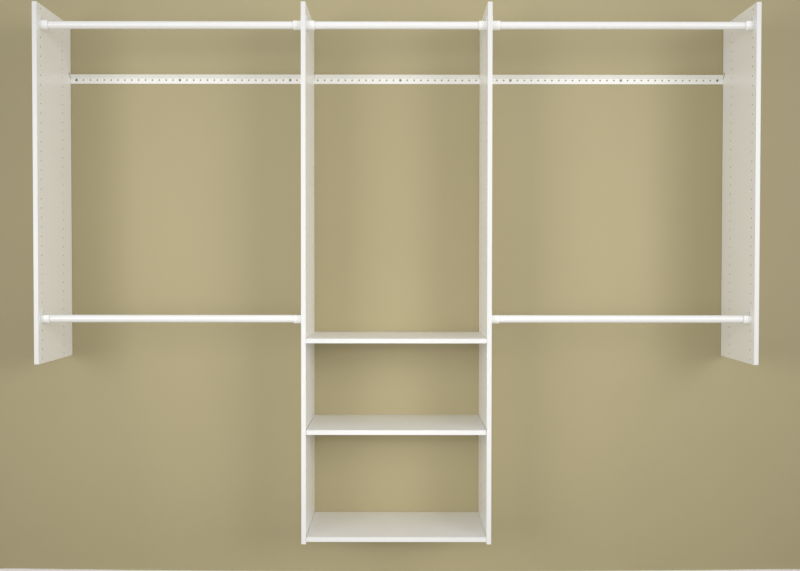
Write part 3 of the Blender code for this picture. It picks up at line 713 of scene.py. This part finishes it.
def makeWallScrews():
    # Local Z runs into the wall. The head is a low dome over a flat rim: at angle t, radius
    # r sin t and height top + (head - rim) (1 - cos t).
    radius, core, shank, plain = (wallScrew[key] for key in ("headRadius", "core", "shank", "plain"))
    seat = rail["thickness"] + system["gap"]
    top = -seat - wallScrew["headHeight"]
    shoulder = plain + wallScrew["shoulder"]
    turn = np.radians(np.linspace(0, 90, 9))
    rise = wallScrew["headHeight"] - wallScrew["rim"]
    dome = [(radius * math.sin(t), top + rise * (1 - math.cos(t))) for t in turn]
    rim = [(radius, -seat - wallScrew["edge"]), (radius - wallScrew["edge"], -seat)]
    neck = [(shank, -seat), (shank, plain), (core, shoulder), (0.0, shoulder)]
    mesh = buildMesh("wallScrew", turned(dome + rim + neck, 40), [darkSteel])
    mesh = cutMesh(mesh, crossRecess(wallScrew, top))
    mesh = joined(mesh, threadedShaft(core, shank - core, wallScrew["pitch"], plain, wallScrew["length"] - seat,
                                      wallScrew["point"]))
    for number in range(wallScrew["count"]):
        node = f"wall_screw_{number + 1}"
        low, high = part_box(node)
        setPiece(node, mesh, Matrix.Translation(((low.x + high.x) / 2, 0.0, 0.0)) @ alongY)


shelf = {"corner": 0.0003, "camFromEnd": 0.024, "camBoreRadius": 0.0104, "camBoreDepth": 0.0125,
         "camBoreFlare": 0.0002, "postBoreRadius": 0.0041, "postBorePast": 0.002, "overrun": 0.002}


def makeShelf(node, bored):
    # A board with softened long edges, sawn ends and back, and the cam and post bores of a fixed one
    lowCorner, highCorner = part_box(node)
    half, underside = highCorner.x, lowCorner.z
    corners = [(x, y, shelf["corner"]) for x, y in (
        (-half, -system["depth"]), (half, -system["depth"]), (half, 0.0), (-half, 0.0))]
    board = prism(filleted(corners, 2), softEnds(underside, underside + system["board"], system["edge"], 4))
    board = bared(bared(board, backIsRaw), lambda corner: abs(corner[:, 0].mean()) > half - system["rawEdge"])
    mesh = divided(buildMesh(camel(node), board, [melamine, chipboard]))
    if bored:
        middle = underside + system["board"] / 2
        radius, depth, flare = shelf["camBoreRadius"], shelf["camBoreDepth"], shelf["camBoreFlare"]
        camBore = turned([(0.0, -shelf["overrun"]), (radius + flare, -shelf["overrun"]), (radius + flare, 0.0),
                          (radius, flare), (radius, depth), (0.0, depth)], 48, slot=1)
        radius, depth = shelf["postBoreRadius"], shelf["camFromEnd"] + shelf["postBorePast"]
        postBore = turned([(0.0, 0.0), (radius, 0.0), (radius, depth), (0.0, depth)], 24, slot=1)
        across = half - shelf["camFromEnd"]
        mesh = cutMesh(mesh, repeated(camBore, [(x, y, underside) for x in (-across, across) for y in columns]))
        rightPosts = repeated(placed(postBore, alongX), [(across, y, middle) for y in columns])
        leftPosts = repeated(placed(postBore, halfTurn @ alongX), [(-across, y, middle) for y in columns])
        mesh = cutMesh(mesh, rightPosts + leftPosts)
    setPiece(node, mesh)


def makeShelves():
    for node, bored in (("shelf_upper", True), ("shelf_middle", False), ("shelf_bottom", True)):
        makeShelf(node, bored)


rod = {"radius": 0.013, "wall": 0.0012, "endGap": 0.0015, "belowScrew": 0.023, "sides": 96, "edge": 0.0004,
       "upperRow": 1, "lowerRow": 32}
socket = {
    "length": 0.028, "plate": 0.003, "wall": 0.0025, "flange": 0.0008, "innerRadius": 0.01355, "edge": 0.0006,
    "plateEdge": 0.0002, "rimBelowRodTop": 0.001, "rimRound": 0.0011, "shoulderDrop": 0.001, "shoulderRound": 0.0022,
    "neckRise": 0.0035, "neckRound": 0.003, "tabRadius": 0.008, "tabAboveScrew": 0.002, "cupStart": 0.001,
    "pegLength": 0.0072, "pegNarrow": 0.0005, "pegChamfer": 0.0006, "pegRoot": 0.0015}
socketFace = system["gap"] + socket["plate"]
socketScrew = {
    "radius": 0.0022, "core": 0.0015, "headRadius": 0.0042, "headDepth": 0.002, "depth": 0.0072, "pitch": 0.0013,
    "neck": 0.0008, "edge": 0.0002, "recessArm": 0.0021, "recessWidth": 0.0009, "recessDepth": 0.0012,
    "recessTaper": 0.00025}


def makeRodMesh(half):
    # A tube with rolled ends: its section, an inner and an outer line joined by rounds, turned
    outer, edge = rod["radius"], rod["edge"]
    bore, soft = outer - rod["wall"], 0.3 * edge
    profile = [(bore, half - edge), (bore, edge - half), (bore + edge, -half), (outer - edge, -half),
               (outer - soft, soft - half), (outer, edge - half), (outer, half - edge),
               (outer - soft, half - soft), (outer - edge, half), (bore + edge, half)]
    return divided(buildMesh("rod", turned(profile, rod["sides"], closed=True), [rodEnamel]))


def makeSocketMesh():
    # Drawn as (depth, height) outlines carried along +X from the panel's face: a plate with a
    # rounded tab, and a cup with its bed open upwards
    gap, inner, tab = system["gap"], socket["innerRadius"], socket["tabRadius"]
    outer = inner + socket["wall"]
    flange = outer + socket["flange"]
    rim = rod["radius"] - socket["rimBelowRodTop"]
    shoulder = (rim - socket["shoulderDrop"], socket["shoulderRound"])
    neck = (rim + socket["neckRise"], socket["neckRound"])
    corners = sharp(arcPoints(flange, 180, 360, 40)) + [(flange, *shoulder), (tab, *neck)]
    corners += sharp(arcPoints(tab, 0, 180, 24, rod["belowScrew"] + socket["tabAboveScrew"]))
    corners += [(-tab, *neck), (-flange, *shoulder)]
    plate = prism(filleted(corners, 5), softEnds(gap, socketFace, socket["edge"], 3, lowRadius=socket["plateEdge"]))
    mesh = buildMesh("rodSocket", placed(plate, sideways), [socketPlastic])
    lip = (rim, socket["rimRound"])
    corners = sharp(arcPoints(outer, 180, 360, 40)) + [(outer, *lip), (inner, *lip)]
    corners += sharp(arcPoints(inner, 360, 180, 40)) + [(-inner, *lip), (-outer, *lip)]
    stations = softEnds(gap + socket["cupStart"], socket["length"], socket["edge"], 3, lowRadius=0)
    mesh = cutMesh(mesh, placed(prism(filleted(corners, 4), stations), sideways), "UNION")
    radius, length, root = socketScrew["radius"], socket["pegLength"], socket["pegRoot"]
    narrow = radius - socket["pegNarrow"]
    peg = turned([(0.0, -length), (narrow, -length), (radius, socket["pegChamfer"] - length), (radius, root),
                  (0.0, root)], 32)
    atPeg = Matrix.Translation((0.0, 0.0, rod["belowScrew"] - system["pitch"])) @ alongX
    mesh = cutMesh(mesh, placed(peg, atPeg), "UNION")
    slope = (socketScrew["headRadius"] - radius) / socketScrew["headDepth"]
    below, above, wide = -0.002, 0.001, radius + gap
    mouth = socketScrew["headRadius"] + gap + slope * above
    sink = turned([(0.0, below), (wide, below), (wide, socketFace - socketScrew["headDepth"]),
                   (mouth, socketFace + above), (0.0, socketFace + above)], 40)
    return cutMesh(mesh, placed(sink, Matrix.Translation((0.0, 0.0, rod["belowScrew"])) @ alongX))


def makeSocketScrewMesh():
    # Local Z runs out of the panel, its face at height 0
    radius, core, wide, edge = (socketScrew[key] for key in ("radius", "core", "headRadius", "edge"))
    headLow = socketFace - socketScrew["headDepth"]
    neckLow = headLow - socketScrew["neck"]
    head = turned([(0.0, neckLow), (core, neckLow), (radius, headLow), (wide, socketFace - edge),
                   (wide - edge, socketFace), (0.0, socketFace)], 40)
    mesh = buildMesh("socketScrew", head, [zincSteel])
    recess = placed(crossRecess(socketScrew, 0.0), Matrix.Translation((0.0, 0.0, socketFace)) @ upsideDown)
    mesh = cutMesh(mesh, recess)
    shaft = threadedShaft(core, radius - core, socketScrew["pitch"], -headLow, socketScrew["depth"], sides=16)
    return joined(mesh, placed(shaft, upsideDown))


def makeRods():
    # Each rod with its two sockets and their screws, left end first
    socketMesh, screwMesh = makeSocketMesh(), makeSocketScrewMesh()
    bays = {"left": (-endFace, -towerOuterFace), "centre": (-towerFace, towerFace), "right": (towerOuterFace, endFace)}
    front = system["frontColumn"]
    for tag in ("upper_left", "upper_centre", "upper_right", "lower_left", "lower_right"):
        level, bay = tag.split("_")
        leftFace, rightFace = bays[bay]
        screwHeight = rowHeight(rod[level + "Row"])
        height = screwHeight - rod["belowScrew"]
        half = (rightFace - leftFace) / 2 - socketFace - rod["endGap"]
        middle = Matrix.Translation(((leftFace + rightFace) / 2, front, height))
        setPiece(f"rod_{tag}", makeRodMesh(half), middle @ alongX)
        for end, face, turn in ((1, leftFace, Matrix()), (2, rightFace, halfTurn)):
            setPiece(f"rod_socket_{tag}_{end}", socketMesh,
                     Matrix.Translation((face, front, height)) @ turn)
            setPiece(f"socket_screw_{tag}_{end}", screwMesh,
                     Matrix.Translation((face, front, screwHeight)) @ turn @ alongX)


pin = {"row": 45, "radius": 0.0022, "depth": 0.0072, "length": 0.009, "width": 0.01, "rise": 0.0025, "drop": 0.0015,
       "corner": 0.0018, "root": 0.0006, "edge": 0.0003, "chamfer": 0.0005, "shankInto": 0.0012}


def makePins():
    # Local X = 0 is the panel's face: a paddle with rounded corners under the shelf and a round
    # shank in the hole
    half, start, length = pin["width"] / 2, system["gap"], pin["length"]
    corners = [(start, -half, pin["root"]), (length, -half, pin["corner"]), (length, half, pin["corner"]),
               (start, half, pin["root"])]
    paddle = prism(filleted(corners, 6), softEnds(-pin["drop"], pin["rise"], pin["edge"], 3))
    mesh = buildMesh("shelfPin", paddle, [zincSteel])
    radius, depth, chamfer, into = (pin[key] for key in ("radius", "depth", "chamfer", "shankInto"))
    shank = [(0.0, -depth), (radius - chamfer, -depth), (radius, chamfer - depth), (radius, into), (0.0, into)]
    mesh = cutMesh(mesh, placed(turned(shank, 32), alongX), "UNION")
    for end, face, turn in (("left", -towerFace, Matrix()), ("right", towerFace, halfTurn)):
        for name, column in zip(("front", "back"), columns):
            setPiece(f"shelf_pin_{name}_{end}", mesh,
                     Matrix.Translation((face, column, rowHeight(pin["row"]))) @ turn)


cam = {
    "radius": 0.0097, "height": 0.0122, "disc": 0.0034, "lowEdge": 0.0006, "highEdge": 0.0003,
    "clawWall": 0.0026, "clawInset": 0.0005, "clawEdge": 0.0004, "start": -140, "closed": 21, "end": 66,
    "splitLead": 0.002, "splitInside": 0.001, "splitOutside": 0.002, "neckRadius": 0.0019,
    "hubLength": 0.0072, "hubWidth": 0.0044, "hubRise": 0.0012, "hubEdge": 0.0003,
    "slotLength": 0.011, "slotWidth": 0.002, "slotDepth": 0.0014, "slotRound": 0.0009, "slotFlare": 0.0002,
    "slotTaper": 0.0001, "overrun": 0.001, "upperRow": 35, "bottomRow": 56}


def ringPart(inner, outer, start, end, steps=40):
    return np.concatenate([arcPoints(outer, start, end, steps), arcPoints(inner, end, start, steps)])


def oblong(length, width, rounding=0.0):
    x, y = length / 2, width / 2
    return [(-x, -y, rounding), (x, -y, rounding), (x, y, rounding), (-x, y, rounding)]


def makeCamMesh():
    # A disc with a driver slot below and a claw round two thirds of it, split at the post's
    # height so that it passes above and below the post's neck
    radius, top, low, high = cam["radius"], cam["disc"], cam["lowEdge"], cam["highEdge"]
    disc = turned([(0.0, 0.0), (radius - low, 0.0), (radius - low / 3, low / 3), (radius, low), (radius, top - high),
                   (radius - high, top), (0.0, top)], 72)
    mesh = buildMesh("camLock", disc, [castZinc])
    outer = radius - cam["clawInset"]
    inner = outer - cam["clawWall"]
    claw = ringPart(inner, outer, cam["start"], cam["end"])
    mesh = cutMesh(mesh, prism(claw, softEnds(top / 2, cam["height"], cam["clawEdge"], 3, lowRadius=0)), "UNION")
    hub = filleted(oblong(cam["hubLength"], cam["hubWidth"]))
    mesh = cutMesh(mesh, prism(hub, softEnds(top / 2, top + cam["hubRise"], cam["hubEdge"], 2, lowRadius=0)), "UNION")
    split, middle = cam["neckRadius"] + system["gap"], system["board"] / 2
    lead = math.degrees(cam["splitLead"] / inner)
    opening = ringPart(inner - cam["splitInside"], outer + cam["splitOutside"], cam["start"] - lead, cam["closed"])
    mesh = cutMesh(mesh, prism(opening, [(middle - split, 0.0), (middle + split, 0.0)]))
    slot = filleted(oblong(cam["slotLength"], cam["slotWidth"], cam["slotRound"]), 5)
    flare = cam["slotFlare"]
    return cutMesh(mesh, prism(slot, [(-cam["overrun"], -flare), (0.0, -flare), (flare, 0.0),
                                      (cam["slotDepth"], cam["slotTaper"])]))


post = {
    "shank": 0.0022, "shankCore": 0.0015, "shankDepth": 0.0102, "pitch": 0.0018, "collar": 0.0034,
    "collarLength": 0.0016, "rod": 0.0028, "neck": 0.0019, "neckLength": 0.005, "head": 0.0031,
    "headLength": 0.003, "headFromCam": 0.0054, "edge": 0.0003, "step": 0.0001, "neckRamp": 0.0005, "nose": 0.0012}


def makePostMesh():
    # Local Z = 0 is the panel's face, +Z runs into the shelf: a threaded shank, a collar, a rod,
    # the neck that the claw grips and a domed head
    edge, collar, head, neck, nose = (post[key] for key in ("edge", "collar", "head", "neck", "nose"))
    collarStart = 2 * system["gap"]
    collarEnd = collarStart + post["collarLength"]
    headStart = system["gap"] + shelf["camFromEnd"] - post["headFromCam"]
    headEnd = headStart + post["headLength"]
    neckStart = headStart - post["neckLength"]
    collarPart = [(0.0, collarStart), (collar - edge, collarStart), (collar, collarStart + edge),
                  (collar, collarEnd - edge), (collar - edge, collarEnd)]
    rodPart = [(post["rod"], collarEnd + post["step"]), (post["rod"], neckStart - post["neckRamp"]),
               (neck, neckStart), (neck, headStart)]
    headPart = [(head - edge, headStart), (head, headStart + edge), (head, headEnd - nose * 2 / 3),
                (head - nose / 2, headEnd - nose / 6), (head - nose, headEnd), (0.0, headEnd)]
    mesh = buildMesh("camPost", turned(collarPart + rodPart + headPart, 32), [castZinc])
    shaft = threadedShaft(post["shankCore"], post["shank"] - post["shankCore"], post["pitch"], -collarStart,
                          post["shankDepth"], sides=18)
    return joined(mesh, placed(shaft, upsideDown))


def makeCams():
    camMesh, postMesh = makeCamMesh(), makePostMesh()
    for name in ("upper", "bottom"):
        height = rowHeight(cam[name + "Row"])
        underside = height - system["board"] / 2
        for end, side, camTurn, postTurn in (("left", -1, halfTurn, Matrix()), ("right", 1, Matrix(), halfTurn)):
            across = side * (towerFace - system["gap"] - shelf["camFromEnd"])
            for column, depth in zip(("front", "back"), columns):
                setPiece(f"cam_lock_{name}_{column}_{end}", camMesh,
                         Matrix.Translation((across, depth, underside)) @ camTurn)
                setPiece(f"cam_post_{name}_{column}_{end}", postMesh,
                         Matrix.Translation((side * towerFace, depth, height)) @ postTurn @ alongX)


makeRail()
makePanels()
makeWallScrews()
print("stage 3: rail, panels and wall screws made")
makeShelves()
makeRods()
makePins()
makeCams()
print("stage 4: shelves, rods, sockets, pins and cams made")


room = {"wallY": 0.0025, "halfWidth": 3.2, "top": 1.6, "floor": -1.934, "front": -5.5, "step": 0.4, "near": 0.006}
skirt = {"top": -1.814, "sag": 0.010, "sagReach": 1.4, "steps": 41, "depth": 0.013, "edge": 0.002}
paints = {
    "wallPaint": {"tone": (0.44, 0.379, 0.213), "secondTone": (0.43, 0.37, 0.207), "rough": 0.6,
                  "skinScale": 260.0, "skinDepth": 0.0004},
    "floorPaint": {"tone": (0.72, 0.70, 0.66), "secondTone": (0.70, 0.68, 0.64), "rough": 0.6,
                   "skinScale": 60.0, "skinDepth": 0.0003},
    "skirtPaint": {"tone": (0.93, 0.925, 0.90), "secondTone": (0.91, 0.905, 0.88), "rough": 0.4,
                   "skinScale": 120.0, "skinDepth": 0.0001}}


def makePaint(name, look):
    # Rolled emulsion: two near tones and an orange-peel skin. From behind it isn't there, and light
    # from what stands close to the wall passes it, so that the boards' backs can be looked at.
    material, wire = newMaterial(name)
    spot = wire.spot()
    broad = wire.ramp(wire.noise(spot, 1.6, 5.0), 0.35, 0.65)
    colour = wire.mix(broad, rgba(look["tone"]), rgba(look["secondTone"]))
    normal = wire.bump(wire.noise(spot, look["skinScale"], 2.0), 0.25, look["skinDepth"])
    paint = wire.surface(colour, look["rough"], normal)
    clear = wire.add("ShaderNodeBsdfTransparent")
    path = wire.add("ShaderNodeLightPath").outputs
    near = wire.math("LESS_THAN", path["Ray Length"], room["near"])
    near = wire.math("MULTIPLY", near, wire.math("SUBTRACT", 1.0, path["Is Camera Ray"]))
    through = wire.math("MAXIMUM", wire.add("ShaderNodeNewGeometry").outputs["Backfacing"], near)
    both = wire.add("ShaderNodeMixShader", None, (through, paint.outputs[0], clear.outputs[0]))
    return finished(material, wire, both)


def makeSheet(name, corners, material, faces=((0, 1, 2, 3),)):
    mesh = bpy.data.meshes.new(name)
    mesh.from_pydata(corners, [], faces)
    mesh.materials.append(material)
    sheet = bpy.data.objects.new(name, divided(mesh, room["step"]))
    bpy.context.scene.collection.objects.link(sheet)


def makeSkirt(halfWidth, wallY, floor, material):
    # A low board against the wall. Its upper edge dips a little in the middle:
    # top - sag (1 - (x / reach)^2)
    reach = skirt["sagReach"]
    across = np.linspace(-reach, reach, skirt["steps"])
    upper = skirt["top"] - skirt["sag"] * (1 - (across / reach) ** 2)
    across = np.concatenate([[-halfWidth], across, [halfWidth]])
    upper = np.concatenate([upper[:1], upper, upper[-1:]])
    out = wallY - skirt["depth"]
    rows = [(out, floor + 0 * upper), (out, upper - skirt["edge"]), (out + skirt["edge"], upper), (wallY, upper)]
    points = np.concatenate([np.stack([across, np.full_like(across, depth), height], 1) for depth, height in rows])
    count = len(across)
    faces = [(row * count + step, row * count + step + 1, (row + 1) * count + step + 1, (row + 1) * count + step)
             for row in range(len(rows) - 1) for step in range(count - 1)]
    makeSheet("skirt", points.tolist(), material, faces)


def makeRoom():
    wallPaint, floorPaint, skirtPaint = (makePaint(name, look) for name, look in paints.items())
    x, y, low, high, front = (room[key] for key in ("halfWidth", "wallY", "floor", "top", "front"))
    makeSheet("wall", [(-x, y, low), (x, y, low), (x, y, high), (-x, y, high)], wallPaint)
    makeSheet("floor", [(-x, front, low), (x, front, low), (x, y, low), (-x, y, low)], floorPaint)
    makeSkirt(x, y, low, skirtPaint)


makeRoom()

sky = {"tone": (0.985, 0.99, 1.0), "light": 0.69, "seen": 0.9}
lamps = {
    "softboxLeft": {"place": (-2.15, -3.4, -0.4), "aim": (0.28, 0.0, -0.65), "size": (1.8, 1.6),
                    "power": 6.8, "spread": 60.0},
    "softboxRight": {"place": (2.4, -3.4, -0.1), "aim": (-0.3, 0.0, -0.65), "size": (2.0, 1.7),
                     "power": 8.5, "spread": 60.0},
    "softboxLow": {"place": (0.0, -3.4, -0.6), "aim": (0.0, 0.0, -1.42), "size": (0.5, 0.4),
                   "power": 0.32, "spread": 22.0}}


def makeLamp(name, values):
    data = bpy.data.lights.new(name, "AREA")
    data.shape = "RECTANGLE"
    data.size, data.size_y = values["size"]
    data.energy = values["power"]
    data.spread = math.radians(values["spread"])
    lamp = bpy.data.objects.new(name, data)
    lamp.location = values["place"]
    lamp.rotation_euler = (Vector(values["aim"]) - Vector(values["place"])).to_track_quat("-Z", "Y").to_euler()
    lamp.visible_camera = False
    bpy.context.scene.collection.objects.link(lamp)


def makeSky():
    # An even pale sky: what is seen directly or in a reflection is a little brighter than its light
    world = bpy.data.worlds.new("studio")
    bpy.context.scene.world = world
    world.use_nodes = True
    world.node_tree.nodes.clear()
    wire = Wiring(world.node_tree)
    path = wire.add("ShaderNodeLightPath").outputs
    mirrored = wire.math("MAXIMUM", path["Is Glossy Ray"], path["Is Transmission Ray"])
    seen = wire.math("MAXIMUM", path["Is Camera Ray"], mirrored)
    strength = wire.ramp(seen, 0.0, 1.0, sky["light"], sky["seen"])
    wire.add("ShaderNodeOutputWorld",
             Surface=wire.add("ShaderNodeBackground", Color=rgba(sky["tone"]), Strength=strength).outputs[0])


makeSky()
for lampName, lampValues in lamps.items():
    makeLamp(lampName, lampValues)
bpy.context.scene.view_settings.view_transform = "Standard"
print("stage 5: room and lights set")
